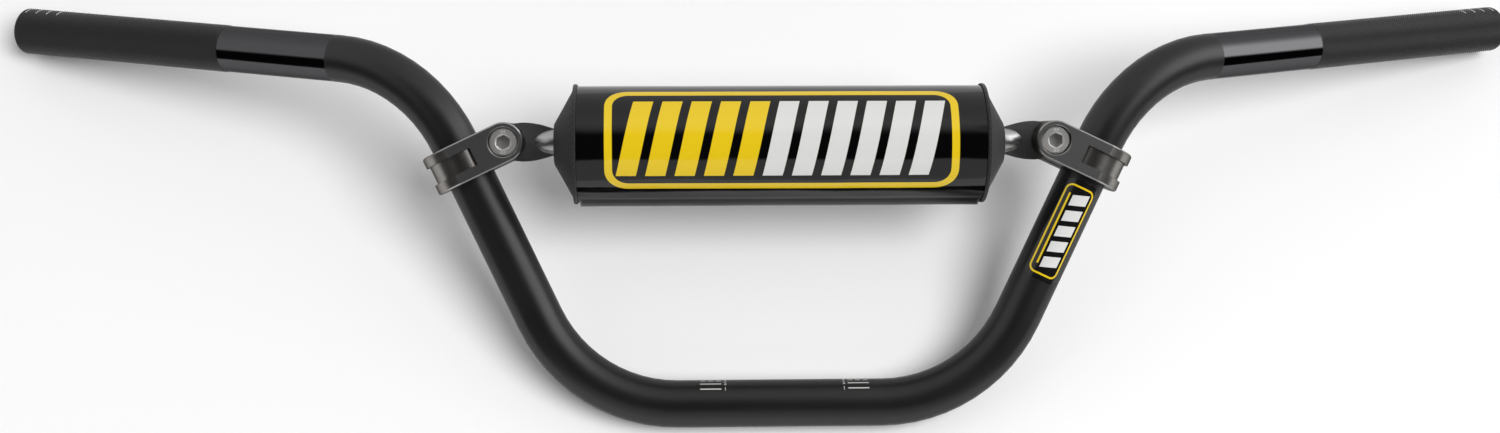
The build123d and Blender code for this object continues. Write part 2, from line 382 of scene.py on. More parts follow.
def printed_pattern(across, along, border, line, bar, pitch, lean, reach, half_length, edge):
    """The masks of a border line and of the leaning bars in it, and the place along the bars."""
    distance = use_group(rounded_distance, Across=across, Along=along, **border)["Distance"]
    leaning = calc("MULTIPLY_ADD", across, lean, along)
    from_start = calc("ADD", leaning, half_length)
    in_bar = window(calc("MODULO", from_start, pitch), *bar, edge)
    in_reach = window(across, *reach, edge)
    in_length = window(leaning, -half_length, half_length, 0.05 * mm)
    frame_line = window(distance, -line, 0.0, edge)
    return frame_line, product(in_bar, in_reach, in_length), from_start


# %% [markdown]
# The bar is one tube with two finishes: blasted all over, and polished for six centimetres inside each
# knurl so that the levers clamp well. A mask that follows the distance from the tip tells them apart. The
# white lines in the middle let the rider set both fork clamps alike, and they are printed, so they are a
# mask too: three short lines on each side, one of them dashed. Black rims must not fade into the white
# paper, so the reflection gets weaker where the tube turns away from the eye.

# %% Satin black of the bar with its polished bands and alignment lines
knurl_length = 118.0 * mm
polish_length = 59.0 * mm
bar_black = (0.006, 0.006, 0.0062, 1.0)
bar_faded = (0.009, 0.009, 0.0093, 1.0)
polished_black = (0.082, 0.082, 0.086, 1.0)
ink_white = (0.62, 0.62, 0.6, 1.0)
line_shift = 1.8 * mm
line_middle_x = 34.6 * mm
line_half_length = 4.9 * mm
line_half_width = 0.28 * mm
line_angles = (math.radians(80), math.radians(63), math.radians(45))
dash_pitch = 3.6 * mm
dash_length = 2.4 * mm
fine_edge = 0.08 * mm
plain_gloss = 0.5
rim_gloss = 0.16


def printed_lines(place):
    """The mask of the alignment lines on the straight centre section."""
    x, y, z = split(place)
    from_middle = calc("ABSOLUTE", calc("SUBTRACT", x, line_shift))
    from_middle = calc("SUBTRACT", from_middle, line_middle_x)
    angle = calc("ARCTAN2", z, product(y, -1.0))
    dashes = calc("MODULO", calc("ADD", from_middle, line_half_length), dash_pitch)
    masks = []
    for line_angle in line_angles:
        off = product(calc("SUBTRACT", angle, line_angle), tube_radius)
        masks.append(window(off, -line_half_width, line_half_width, fine_edge))
    dashed = product(masks[0], calc("LESS_THAN", dashes, dash_length))
    lines = calc("MAXIMUM", dashed, calc("MAXIMUM", masks[1], masks[2]))
    reach = window(from_middle, -line_half_length, line_half_length, fine_edge)
    return product(lines, reach)


def make_bar_material():
    material, surface, place = new_material("bar_black")
    grip = use_group(side_frame, Place=place, Origin=knurl_end, **grip_axes)
    grain = grain_on(place, 0.2 * mm)
    polished = window(grip["Along"], knurl_length, knurl_length + polish_length, 0.5 * mm)
    dyed = mix_colour(grain["Drift"], bar_black, bar_faded)
    finish = mix_colour(polished, dyed, polished_black)
    rough = mix_value(grain["Drift"], 0.33, 0.41)
    connect(
        surface,
        Base_Color=mix_colour(printed_lines(place), finish, ink_white),
        Metallic=polished,
        Roughness=mix_value(polished, rough, 0.1),
        Specular_IOR_Level=mix_value(edge_mask(material), plain_gloss, rim_gloss),
        Specular_Tint=mix_colour(polished, (1.0, 1.0, 1.0, 1.0), (0.45, 0.45, 0.45, 1.0)),
        Normal=bump(mix_value(polished, grain["Height"], 0.5), 0.012 * mm),
    )
    return material


dress(make_bar_material(), "bar_tube")

# %% [markdown]
# The crossbar is a thin tube, dyed grey. Where it was drawn through the die its skin has fine scratches
# along the tube, so its grain is drawn out along X.

# %% Satin grey of the crossbar
def make_crossbar_material():
    material, surface, place = new_material("crossbar_grey")
    x, y, z = split(place)
    grain = grain_on(place, 0.5 * mm)
    marks = use_group(tool_marks, Across_cut=z, Along_cut=x, Pitch=0.35 * mm)
    connect(
        surface,
        Base_Color=mix_colour(grain["Drift"], (0.42, 0.42, 0.422, 1.0), (0.54, 0.54, 0.542, 1.0)),
        Metallic=1.0,
        Roughness=mix_value(marks["Height"], 0.26, 0.38),
        Normal=bump(marks["Height"], 0.012 * mm),
    )
    return material


dress(make_crossbar_material(), "crossbar")

# %% [markdown]
# Each clamp is turned and then milled. Its round surfaces keep rings from the lathe and look lighter and a
# little warm, while its milled flats are an even dark grey. The mask between them is how near a point lies
# to the flat. The chamfers get a painted highlight, a lighter colour where they catch the light, and they
# are found by the tilt of the normal.
# A dark tint of the specular keeps the collar's turned-away sides grey in front of the white paper.

# %% Turned and milled finish of the clamps
def make_clamp_material():
    material, surface, place = new_material("clamp_grey")
    normal = put(material.node_tree, "ShaderNodeNewGeometry").outputs["Normal"]
    local = use_group(side_frame, Place=place, Origin=clamp_centre, **leg_axes)
    facing = use_group(side_frame, Place=normal, **leg_axes)
    front = calc("ABSOLUTE", local["Front"])
    on_flat = ramp(front, collar_face - 0.25 * mm, collar_face - 0.1 * mm)
    chamfer = window(calc("ABSOLUTE", facing["Along"]), 0.62, 0.78, 0.04)
    grain = grain_on(place, 0.6 * mm)
    rings = use_group(tool_marks, Across_cut=local["Along"], Along_cut=local["Across"], Pitch=0.28 * mm)
    milled = mix_colour(grain["Drift"], (0.21, 0.21, 0.213, 1.0), (0.28, 0.28, 0.283, 1.0))
    turned = mix_colour(rings["Height"], (0.23, 0.221, 0.208, 1.0), (0.4, 0.382, 0.365, 1.0))
    tone = mix_colour(on_flat, turned, milled)
    # Painted highlight: the chamfers get a lighter colour where they would catch the light, a little
    # uneven.
    chamfer_highlight = product(chamfer, mix_value(grain["Drift"], 0.3, 0.9))
    connect(
        surface,
        Base_Color=mix_colour(chamfer_highlight, tone, (0.5, 0.5, 0.5, 1.0)),
        Metallic=1.0,
        Roughness=mix_value(on_flat, 0.3, 0.42),
        Specular_Tint=(0.15, 0.15, 0.15, 1.0),
        Normal=bump(mix_value(on_flat, rings["Height"], 0.5), 0.02 * mm),
    )
    return material


dress(make_clamp_material(), "clamp_left", "clamp_right")

# %% [markdown]
# The screws are zinc plated steel, rolled to an M8 thread. The thread goes round in the tapped ear, so a
# bump is enough for it: a height that rises once for every pitch along the screw and once for every turn.
# The rims of the head and of its socket get a painted highlight, a brighter colour, and the normal's turn
# to the front finds them too.

# %% Bright steel of the screws
thread_pitch = 1.25 * mm
shank_length = 10.0 * mm
thread_start_y = screw_face_y + shank_length


def make_screw_material():
    material, surface, place = new_material("screw_steel")
    x, y, z = split(place)
    across = calc("SUBTRACT", calc("ABSOLUTE", x), screw_x)
    height = calc("SUBTRACT", z, screw_z)
    turn = calc("DIVIDE", calc("ARCTAN2", height, across), 2 * math.pi)
    radius = vector_calc("LENGTH", join(across, height))
    climb = calc("ADD", calc("DIVIDE", y, thread_pitch), turn)
    groove = calc("PINGPONG", climb, 0.5)
    on_thread = ramp(y, thread_start_y, thread_start_y + 0.5 * mm)
    grain = grain_on(place, 0.35 * mm)
    faced = use_group(tool_marks, Across_cut=radius, Along_cut=turn, Pitch=0.12 * mm)
    relief = mix_value(on_thread, product(faced["Height"], 0.03), groove)
    facing = split(put(material.node_tree, "ShaderNodeNewGeometry").outputs["Normal"])
    # Painted highlight on the rims of head and socket.
    rim_highlight = window(product(facing[1], -1.0), 0.55, 0.85, 0.05)
    plated = mix_colour(grain["Drift"], (0.5, 0.495, 0.48, 1.0), (0.64, 0.633, 0.615, 1.0))
    connect(
        surface,
        Base_Color=mix_colour(rim_highlight, plated, (0.95, 0.94, 0.92, 1.0)),
        Metallic=1.0,
        Roughness=mix_value(grain["Drift"], 0.46, 0.58),
        Normal=bump(relief, 0.4 * mm),
    )
    return material


dress(make_screw_material(), "clamp_screw_left", "clamp_screw_right")

# %% [markdown]
# New pieces all end the same way: their faces are turned outwards, the mesh becomes an object at the
# origin, and it rides on the handlebar's one body. Ink, stamps and thread share a plain kind of material,
# whose colour goes with a fine grain.

# %% Helpers for new pieces and their plain materials
both_sides = (("right", 1), ("left", -1))


def make_speckled_material(name, grain_size, dark, light, rough, relief=0.0, metallic=0.0):
    """A plain finish between two colours, with its roughness between two values."""
    material, surface, place = new_material(name)
    grain = grain_on(place, grain_size)
    connect(
        surface,
        Base_Color=mix_colour(grain["Height"], dark, light),
        Metallic=metallic,
        Roughness=mix_value(grain["Drift"], *rough),
    )
    if relief:
        connect(surface, Normal=bump(grain["Height"], relief))
    return material


def make_object(name, shape, material):
    """Turns a bmesh into an object at the origin."""
    mesh = bpy.data.meshes.new(name)
    shape.to_mesh(mesh)
    shape.free()
    mesh.materials.append(material)
    made = bpy.data.objects.new(name, mesh)
    scene.collection.objects.link(made)
    print(name, len(mesh.polygons), "faces")
    return made


def finish_piece(name, shape, material, slot, smooth=True, stands_for=()):
    """Makes a new piece of the handlebar."""
    bmesh.ops.recalc_face_normals(shape, faces=shape.faces)
    piece = make_object(name, shape, material)
    piece.data.polygons.foreach_set("use_smooth", [smooth] * len(piece.data.polygons))
    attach(piece, "root")
    if stands_for:
        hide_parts(*stands_for)
    return piece


# %% [markdown]
# The grip ends are knurled: two sets of crossing grooves leave rows of small pyramids that hold the glue of
# a grip. They catch the light one by one, so they are modelled and not painted on. A flat grid is wrapped
# round the tube with every second point raised, and each square is split from one low point to the other,
# which makes every high point the top of a four-sided pyramid. A few printed ticks lie near the tips.

# %% Knurled sleeves on both grip ends
knurl_round = 100
knurl_low = tube_radius + 0.02 * mm
knurl_high = tube_radius + 0.25 * mm
knurl_pitch = 2 * math.pi * tube_radius / knurl_round
knurl_rows = 2 * round(knurl_length / knurl_pitch / 2)
knurl_rim_depth = 0.3 * mm
knurl_gloss = 0.46
knurl_rim_gloss = 0.14

tick_start = 2.0 * mm
tick_pitch = 6.2 * mm
tick_along = (0.2 * mm, 0.6 * mm)
tick_front = (1.5 * mm, 6.5 * mm)
tick_reach = 23.0 * mm


def grip_point(side, along, angle, radius):
    """A point round the grip of one side, measured inwards from its tip. Angle 0 is at the top."""
    point = knurl_end - grip_axis * along
    point = point + (grip_upright * math.cos(angle) - grip_level * math.sin(angle)) * radius
    return Vector((side * point.x, point.y, point.z))


def make_knurl_material():
    material, surface, place = new_material("knurl_black")
    grip = use_group(side_frame, Place=place, Origin=knurl_end, **grip_axes)
    grain = grain_on(place, 0.3 * mm)
    stripe = window(grip["Front"], *tick_front, 0.2 * mm)
    on_top = calc("GREATER_THAN", grip["Across"], 0.0)
    steps = calc("MODULO", calc("SUBTRACT", grip["Along"], tick_start), tick_pitch)
    tick = window(steps, *tick_along, 0.1 * mm)
    near_tip = calc("LESS_THAN", grip["Along"], tick_reach)
    printed = product(tick, near_tip, stripe, on_top)
    dyed = mix_colour(grain["Drift"], bar_black, bar_faded)
    connect(
        surface,
        Base_Color=mix_colour(printed, dyed, ink_white),
        Roughness=mix_value(grain["Drift"], 0.26, 0.36),
        # Painted shade: the reflection fades towards the outline, so the rims stay dark as on the tube.
        Specular_IOR_Level=mix_value(edge_mask(material), knurl_gloss, knurl_rim_gloss),
    )
    return material


def make_knurl(name, side, material):
    """A sleeve of pyramids on one grip, with its rims sunk into the tube."""
    shape = bmesh.new()
    bmesh.ops.create_grid(shape, x_segments=knurl_round, y_segments=knurl_rows, size=0.5)
    low_points = []
    for point in shape.verts:
        column = round((point.co.x + 0.5) * knurl_round)
        row = round((point.co.y + 0.5) * knurl_rows)
        inside = 0 < row < knurl_rows
        high = inside and (column + row) % 2 == 0
        if inside and not high:
            low_points.append(point)
        along = row / knurl_rows * knurl_length
        angle = column / knurl_round * 2 * math.pi
        point.co = grip_point(side, along, angle, knurl_high if high else knurl_low)
    bmesh.ops.connect_verts(shape, verts=low_points)
    bmesh.ops.remove_doubles(shape, verts=shape.verts, dist=0.01 * mm)
    rims = [edge for edge in shape.edges if edge.is_boundary]
    grown = bmesh.ops.extrude_edge_only(shape, edges=rims)["geom"]
    centre = Vector((side * knurl_end.x, knurl_end.y, knurl_end.z))
    axis = Vector((side * grip_axis.x, grip_axis.y, grip_axis.z))
    for point in [item for item in grown if isinstance(item, bmesh.types.BMVert)]:
        offset = point.co - centre
        point.co -= (offset - axis * offset.dot(axis)).normalized() * knurl_rim_depth
    return finish_piece(name, shape, material, "bar_finish", smooth=False)


knurl_material = make_knurl_material()
for name, side in both_sides:
    make_knurl("knurl_" + name, side, knurl_material)

# %% [markdown]
# Numbers beside the alignment lines name their positions, and the screw heads show their strength class.
# Both are text, which is made a mesh first. A helper then places every point, so that the ink can follow
# the tube and the stamp can lie flat on the head.

# %% Numbers beside the alignment lines, and the strength class on the screw heads
number_x = 27.8 * mm
number_size = 2.9 * mm
number_depth = 0.03 * mm
number_gap = 0.04 * mm
stamp_height = 4.75 * mm
stamp_size = 1.9 * mm
stamp_depth = 0.04 * mm


def text_shape(body, size, depth):
    """A text as a thin plate, centred on the origin in the XY plane."""
    curve = bpy.data.curves.new("text", "FONT")
    curve.body = body
    curve.size = size
    curve.extrude = depth
    curve.align_x = "CENTER"
    curve.align_y = "CENTER"
    holder = bpy.data.objects.new("text", curve)
    scene.collection.objects.link(holder)
    mesh = bpy.data.meshes.new_from_object(holder)
    bpy.data.objects.remove(holder)
    bpy.data.curves.remove(curve)
    return mesh


def make_text_piece(name, texts, size, depth, material, slot):
    """One piece of several texts, each with the function that places its points."""
    shape = bmesh.new()
    for body, place_point in texts:
        mesh = text_shape(body, size, depth)
        for vertex in mesh.vertices:
            vertex.co = place_point(vertex.co)
        shape.from_mesh(mesh)
        bpy.data.meshes.remove(mesh)
    bmesh.ops.remove_doubles(shape, verts=shape.verts, dist=0.002 * mm)
    return finish_piece(name, shape, material, slot, smooth=False)


def on_tube(x, angle):
    """Bends flat text round the centre section. Angle 0 is the front and a quarter turn is the top."""
    def place_point(flat):
        turned = angle + flat.y / tube_radius
        radius = tube_radius + number_gap + flat.z
        return Vector((x + flat.x, -math.cos(turned) * radius, math.sin(turned) * radius))
    return place_point


def on_head(x, z):
    """Stands flat text up on a screw's head, facing the front."""
    def place_point(flat):
        return Vector((x + flat.x, screw_face_y - flat.z, z + flat.y))
    return place_point


ink_material = make_speckled_material(
    "ink_white", 0.4 * mm, (0.5, 0.5, 0.49, 1.0), (0.68, 0.68, 0.66, 1.0), (0.45, 0.6)
)
stamp_material = make_speckled_material(
    "stamp_bright", 0.3 * mm, (0.8, 0.79, 0.77, 1.0), (0.96, 0.95, 0.93, 1.0), (0.5, 0.5), metallic=0.6
)
number_look = (number_size, number_depth, ink_material, "bar_finish")
stamp_look = (stamp_size, stamp_depth, stamp_material, "screw_steel")
for name, side in both_sides:
    x = line_shift + side * number_x
    numbers = [(str(3 - i), on_tube(x, angle)) for i, angle in enumerate(line_angles)]
    make_text_piece("centre_numbers_" + name, numbers, *number_look)
    stamps = [("8.8", on_head(side * screw_x, screw_z + z)) for z in (stamp_height, -stamp_height)]
    make_text_piece("screw_class_" + name, stamps, *stamp_look)

# %% [markdown]
# The cover is one panel of coated fabric, wrapped once round the foam and on past its own edge as a flap.
# Cover and tapes are made alike: a grid is bent round the pad, and the sheet then gets its thickness.

# %% Helpers that bend a sheet round the pad and make it thick
def thicken(shape, thickness):
    """Turns a sheet's faces away from the pad's middle and adds its thickness on the inside."""
    sheet = shape.faces[:]
    shape.normal_update()
    from_middle = sheet[0].calc_center_median() - Vector((0, 0, pad_centre_z))
    if sheet[0].normal.dot(from_middle) < 0:
        bmesh.ops.reverse_faces(shape, faces=sheet)
    bmesh.ops.solidify(shape, geom=sheet, thickness=thickness)


def bend_sheet(start, end, radius_at, half_length_at, thickness, steps_round, steps_along):
    """A closed sheet round the pad. radius_at and half_length_at are functions of place and angle."""
    shape = bmesh.new()
    bmesh.ops.create_grid(shape, x_segments=steps_along, y_segments=steps_round, size=0.5)
    for point in shape.verts:
        angle = start + (point.co.y + 0.5) * (end - start)
        x = 2 * point.co.x * half_length_at(angle)
        point.co = around_pad(angle, radius_at(x, angle), x)
    thicken(shape, thickness)
    return shape


# %% [markdown]
# The print is a border and eleven leaning bars, five yellow and six white. The place round the pad is the
# angle times the radius, so the print keeps its size on the bent vinyl. Low on the pad the gloss is weaker,
# which keeps its lower rim dark.

# %% Printed colours of the vinyl
print_yellow = (0.8, 0.56, 0.012, 1.0)
print_white = (0.71, 0.71, 0.7, 1.0)
print_middle = math.radians(6.5)
yellow_bars = 5
pad_pattern = {
    "border": {"Half_width": 26.4 * mm, "Half_length": 81.0 * mm, "Corner": 11.0 * mm},
    "line": 3.4 * mm,
    "bar": (0.15 * mm, 9.2 * mm),
    "pitch": 13.4 * mm,
    "lean": -0.22,
    "reach": (-18.5 * mm, 18.5 * mm),
    "half_length": 72.0 * mm,
    "edge": 0.15 * mm,
}
full_gloss_climb = math.radians(-50)
low_gloss_climb = math.radians(-66)
low_gloss = 0.12


def make_vinyl_material():
    material, surface, place = new_material("vinyl_print")
    x, y, z = split(place)
    height = calc("SUBTRACT", z, pad_centre_z)
    climb = calc("ARCTAN2", height, product(y, -1.0))
    round_pad = product(calc("SUBTRACT", climb, print_middle), pad_radius)
    frame_line, bars, from_left = printed_pattern(round_pad, x, **pad_pattern)
    is_white = calc("GREATER_THAN", from_left, (yellow_bars - 0.1) * pad_pattern["pitch"])
    ink = mix_colour(product(bars, is_white), print_yellow, print_white)
    dust = grain_on(place, 0.8 * mm)
    vinyl = mix_colour(dust["Drift"], (0.001, 0.001, 0.0012, 1.0), (0.0025, 0.0025, 0.0028, 1.0))
    below = ramp(climb, full_gloss_climb, low_gloss_climb)
    connect(
        surface,
        Base_Color=mix_colour(calc("MAXIMUM", frame_line, bars), vinyl, ink),
        Roughness=mix_value(dust["Drift"], 0.045, 0.11),
        Specular_IOR_Level=mix_value(below, plain_gloss, low_gloss),
        Normal=bump(noise_on(place, 160.0, 2.0), 0.03 * mm),
    )
    return material


# %% [markdown]
# The cover is glossy, so its smallest waves show as bent reflections, and a perfect cylinder would look
# like painted metal. It is pulled tight, so two noises in its radius stay within tenths of a millimetre.
# Near the seams, where stitches gather the vinyl, they give way to short puckers.

# %% Vinyl cover with its flap
flap_inset = 2.0 * mm
flap_half_length = pad_half_length - flap_inset
cover_gap = 0.1 * mm
long_wave = 55.0 * mm
long_wave_turn = 1.9
short_wave = 22.0 * mm
short_wave_turn = 4.5
ripple_depth = 0.07 * mm
low_front_angle = math.radians(-45)
low_front_extra = 1.6
pucker_wave = 20.0 * mm
pucker_turn = 9.0
pucker_depth = 0.16 * mm
pucker_reach = 7.0 * mm
flap_corner = math.radians(3)


def cover_half_length(angle):
    """The flap stops short of the bindings, and the wrap runs on under them."""
    share = min(max((angle - wrap_end) / flap_corner, 0.0), 1.0)
    return pad_half_length + (flap_half_length - pad_half_length) * share


def cover_radius(x, angle):
    """Round the foam first, then out over the strips, with the waves of a stretched sheet."""
    share = min(max((angle - wrap_end) / (ramp_end - wrap_end), 0.0), 1.0)
    wrap_radius = pad_radius - cover_gap
    radius = wrap_radius + (flap_radius - wrap_radius) * share
    wave = noise.noise(Vector((x / long_wave, angle * long_wave_turn, 3.0)))
    wave += 0.5 * noise.noise(Vector((x / short_wave, angle * short_wave_turn, 8.0)))
    from_seam = max(pad_half_length - abs(x), 0.0)
    gather = math.exp(-from_seam / pucker_reach)
    seam_number = 5.0 if x > 0 else 15.0
    pucker = noise.noise(Vector((angle * pucker_turn, seam_number, from_seam / pucker_wave)))
    low_front = 1.0 + low_front_extra * max(math.cos(angle - low_front_angle), 0.0)
    return radius + ripple_depth * low_front * wave * (1 - gather) + pucker_depth * gather * pucker


wrap_shape = bend_sheet(wrap_start, flap_end, cover_radius, cover_half_length, cover_thickness, 200, 150)
cover = finish_piece("pad_wrap", wrap_shape, make_vinyl_material(), "vinyl", stands_for=["pad_cover"])

# %% [markdown]
# Under the flap lie the two halves of the closure. The loop tape is a napped fabric and the hook tape a
# stiff moulded one, so they share one shape but not one finish.

# %% Hook and loop tapes
def make_tape_material(name, thread, rough, depth, dark, light):
    """A woven tape round the pad: dark between the threads, and light on the fibres."""
    material, surface, place = new_material(name)
    x, y, z = split(place)
    height = calc("SUBTRACT", z, pad_centre_z)
    round_pad = product(calc("ARCTAN2", y, height), pad_radius)
    threads = use_group(weave, Place=place, Warp=x, Weft=round_pad, Thread=thread)
    shade = mix_colour(threads["Fibres"], (dark, dark, dark, 1.0), (light, light, light, 1.0))
    normal = bump(threads["Height"], depth)
    connect(surface, Base_Color=shade, Roughness=rough, Sheen_Weight=0.15, Normal=normal)
    return material


loop_nap = make_tape_material("loop_nap", 0.7 * mm, 0.9, 0.25 * mm, 0.006, 0.028)
hook_rows = make_tape_material("hook_rows", 1.3 * mm, 0.5, 0.3 * mm, 0.006, 0.02)
tape_thickness = 0.45 * mm
tape_gap = 0.1 * mm
loop_outer = pad_radius + tape_gap + tape_thickness
for name, outer, node, material in (
    ("loop_tape", loop_outer, "pad_loop_strip", loop_nap),
    ("hook_tape", loop_outer + tape_thickness, "pad_hook_strip", hook_rows),
):
    tape = bend_sheet(
        0.0, strip_end, lambda x, angle: outer, lambda angle: strip_half_length, tape_thickness, 14, 60
    )
    finish_piece(name, tape, material, name, stands_for=[node])

# %% [markdown]
# The end panels are cones of matt woven nylon that draw in round the crossbar. Each is a grid whose rows go
# from the seam over the fold to the hole, with shallow gathers that fade away from the seam. The grid stays
# open along the closing slit underneath, as the real panel does.

# %% Fabric end panels
panel_fold_radius = 9.55 * mm
panel_hole_radius = 6.95 * mm
fold_share = 0.7
gather_count = 34
gather_depth = 0.22 * mm
gather_drift = 2.0
gather_rise = 8.0
gather_fade = 4.0
seam_inset = 0.05 * mm
slit_half_angle = 0.5 * mm / pad_radius


def make_fabric_material():
    material, surface, place = new_material("end_fabric")
    x, y, z = split(place)
    threads = use_group(weave, Place=place, Warp=y, Weft=z, Thread=0.45 * mm)
    nap = grain_on(place, 1.6 * mm)
    tone = product(threads["Fibres"], nap["Height"])
    connect(
        surface,
        Base_Color=mix_colour(tone, (0.004, 0.004, 0.0042, 1.0), (0.03, 0.03, 0.031, 1.0)),
        Roughness=mix_value(nap["Drift"], 0.75, 0.95),
        Sheen_Weight=0.12,
        Sheen_Roughness=0.4,
        Normal=bump(threads["Height"], 0.09 * mm),
    )
    return material


def panel_point(angle, share, side):
    """A point of the end panel, from the seam at share 0 over the fold to the hole at share 1."""
    cone = min(share / fold_share, 1.0)
    x = pad_half_length + (panel_end_x - pad_half_length) * cone
    radius = pad_radius + (panel_fold_radius - pad_radius) * cone
    drift = gather_drift * noise.noise(Vector((angle * 3, side * 4.0, 1.0)))
    wave = math.sin(gather_count * angle + drift)
    lift = gather_depth * wave * math.exp(-gather_fade * cone) * min(cone * gather_rise, 1.0)
    fold = around_pad(angle, radius + lift - seam_inset, side * x)
    hole = Vector((side * x, 0, screw_z)) + outward_at(angle) * panel_hole_radius
    return fold.lerp(hole, max(share - fold_share, 0.0) / (1 - fold_share))


def make_end_panel(name, side, material, node):
    shape = bmesh.new()
    bmesh.ops.create_grid(shape, x_segments=180, y_segments=26, size=0.5)
    first = slit_angle + slit_half_angle
    whole = 2 * math.pi - 2 * slit_half_angle
    for point in shape.verts:
        point.co = panel_point(first + (point.co.x + 0.5) * whole, point.co.y + 0.5, side)
    thicken(shape, cover_thickness)
    return finish_piece(name, shape, material, "end_fabric", stands_for=[node])


fabric_material = make_fabric_material()
for name, side in both_sides:
    panel = make_end_panel("end_fabric_" + name, side, fabric_material, "pad_end_panel_" + name)

# %% [markdown]
# A tape is folded over each seam and sewn through. Its rounded section is a flattened circle that is spun
# round the pad's axis and left open at the slit. The thread shows as short stitches that sink into the
# tape, so each stitch is a small stretched ball.

# %% Bindings with their stitches
binding_middle, binding_half = middle_and_half("pad_binding_right")
binding_half_height = 0.36 * mm
stitch_count = 56
stitch_length = 2.0 * mm
stitch_thickness = 0.42 * mm
stitch_sink = 0.12 * mm


def make_binding(name, side, material, node):
    shape = bmesh.new()
    ring = bmesh.ops.create_circle(shape, segments=12, radius=1.0)["verts"]
    for point in ring:
        radius = binding_half.z - binding_half_height + point.co.y * binding_half_height
        x = side * (binding_middle.x + point.co.x * binding_half.x)
        point.co = around_pad(slit_angle + slit_half_angle, radius, x)
    bmesh.ops.spin(
        shape,
        geom=shape.verts[:] + shape.edges[:],
        cent=(0, 0, pad_centre_z),
        axis=(1, 0, 0),
        angle=2 * math.pi - 2 * slit_half_angle,
        steps=120,
    )
    bmesh.ops.holes_fill(shape, edges=[edge for edge in shape.edges if edge.is_boundary], sides=0)
    return finish_piece(name, shape, material, "binding_tape", stands_for=[node])


def add_stitch(shape, centre, along, outward):
    """One stitch: a ball stretched along the seam."""
    turn = Matrix((along, outward.cross(along), outward)).transposed().to_4x4()
    stretch = Matrix.Diagonal((stitch_length / 2, stitch_thickness / 2, stitch_thickness / 2, 1.0))
    matrix = Matrix.Translation(centre) @ turn @ stretch
    bmesh.ops.create_icosphere(shape, subdivisions=1, radius=1.0, matrix=matrix)


binding_material = make_tape_material("binding_weave", 0.4 * mm, 0.8, 0.1 * mm, 0.003, 0.02)
thread_material = make_speckled_material(
    "thread", 0.25 * mm, (0.01, 0.01, 0.0105, 1.0), (0.05, 0.05, 0.052, 1.0), (0.45, 0.6), 0.05 * mm
)
for name, side in both_sides:
    make_binding("binding_" + name, side, binding_material, "pad_binding_" + name)
    seam = bmesh.new()
    for index in range(stitch_count):
        angle = slit_angle + (index + 0.5) / stitch_count * 2 * math.pi
        centre = around_pad(angle, binding_half.z - stitch_sink, side * binding_middle.x)
        add_stitch(seam, centre, along_x.cross(outward_at(angle)), outward_at(angle))
    finish_piece("binding_stitches_" + name, seam, thread_material, "binding_tape")

# %% [markdown]
# The flap's free edge is hemmed: one row of stitches runs along it, a few millimetres in. It lies at the
# back, where a rider's knees don't catch it.

# %% Stitches along the flap
hem_pitch = 3.4 * mm
hem_inset = 2.6 * mm
hem_end_margin = 4.0 * mm
hem_lift = 0.05 * mm
hem_count = int(2 * (flap_half_length - hem_end_margin) / hem_pitch)
hem_angle = flap_end - hem_inset / flap_radius
hem = bmesh.new()
for index in range(hem_count):
    x = (index - (hem_count - 1) / 2) * hem_pitch
    centre = around_pad(hem_angle, cover_radius(x, hem_angle) + hem_lift, x)
    add_stitch(hem, centre, along_x, outward_at(hem_angle))
finish_piece("flap_stitches", hem, thread_material, "vinyl")

# %% [markdown]
# The foam fills the cover. Only its slit and the ends of its bore can be seen, so its shape comes from the
# CAD solid: a copy of the mesh, with its doubles merged first. Closed cell foam is a pack of bubbles, and
# a cell texture gives their walls.

# %% Foam core
def make_foam_material():
    material, surface, place = new_material("foam_cells")
    cells = put_after("ShaderNodeTexVoronoi", {"Vector": place, "Scale": 900.0})
    grain = grain_on(place, 1.5 * mm)
    connect(
        surface,
        Base_Color=mix_colour(grain["Drift"], (0.02, 0.02, 0.021, 1.0), (0.045, 0.045, 0.047, 1.0)),
        Roughness=mix_value(cells.outputs["Distance"], 0.75, 0.95),
        Normal=bump(cells.outputs["Distance"], 0.3 * mm),
    )
    return material


foam_shape = bmesh.new()
foam_shape.from_mesh(nodes["pad_foam"].data)
bmesh.ops.remove_doubles(foam_shape, verts=foam_shape.verts, dist=0.001 * mm)
foam = finish_piece(
    "foam_core", foam_shape, make_foam_material(), "foam", smooth=False, stands_for=["pad_foam"]
)

# %% [markdown]
# The decal is a printed film on the right leg. Its border and bars repeat the pad's print at a smaller
# size, laid out across and along the leg, and one thin line is added beside them.

# %% Printed film of the decal
decal_middle = middle_and_half("leg_decal")[0]
decal_centre = Vector((decal_middle.x, 0, decal_middle.z))
decal_radius = tube_radius + 0.15 * mm
decal_pattern = {
    "border": {"Half_width": 7.4 * mm, "Half_length": 22.6 * mm, "Corner": 3.5 * mm},
    "line": 0.8 * mm,
    "bar": (0.1 * mm, 5.3 * mm),
    "pitch": 7.9 * mm,
    "lean": 0.35,
    "reach": (-5.2 * mm, 2.6 * mm),
    "half_length": 18.5 * mm,
    "edge": fine_edge,
}
thin_line_across = (3.9 * mm, 4.7 * mm)
thin_line_along = (-18.0 * mm, 18.0 * mm)


def make_decal_material():
    material, surface, place = new_material("decal_print")
    local = use_group(side_frame, Place=place, Origin=decal_centre, **leg_axes)
    bent = calc("ARCSINE", calc("DIVIDE", local["Across"], decal_radius))
    across = product(bent, tube_radius)
    along = local["Along"]
    frame_line, bars = printed_pattern(across, along, **decal_pattern)[:2]
    thin_line = window(across, *thin_line_across, fine_edge)
    thin_line = product(thin_line, window(along, *thin_line_along, 0.1 * mm))
    yellow = calc("MAXIMUM", frame_line, thin_line)
    grain = grain_on(place, 0.5 * mm)
    film = mix_colour(grain["Drift"], (0.004, 0.004, 0.0045, 1.0), (0.008, 0.008, 0.0085, 1.0))
    inked = mix_colour(bars, film, print_white)
    connect(
        surface,
        Base_Color=mix_colour(yellow, inked, print_yellow),
        Roughness=mix_value(grain["Drift"], 0.14, 0.24),
    )
    return material


dress(make_decal_material(), "leg_decal")

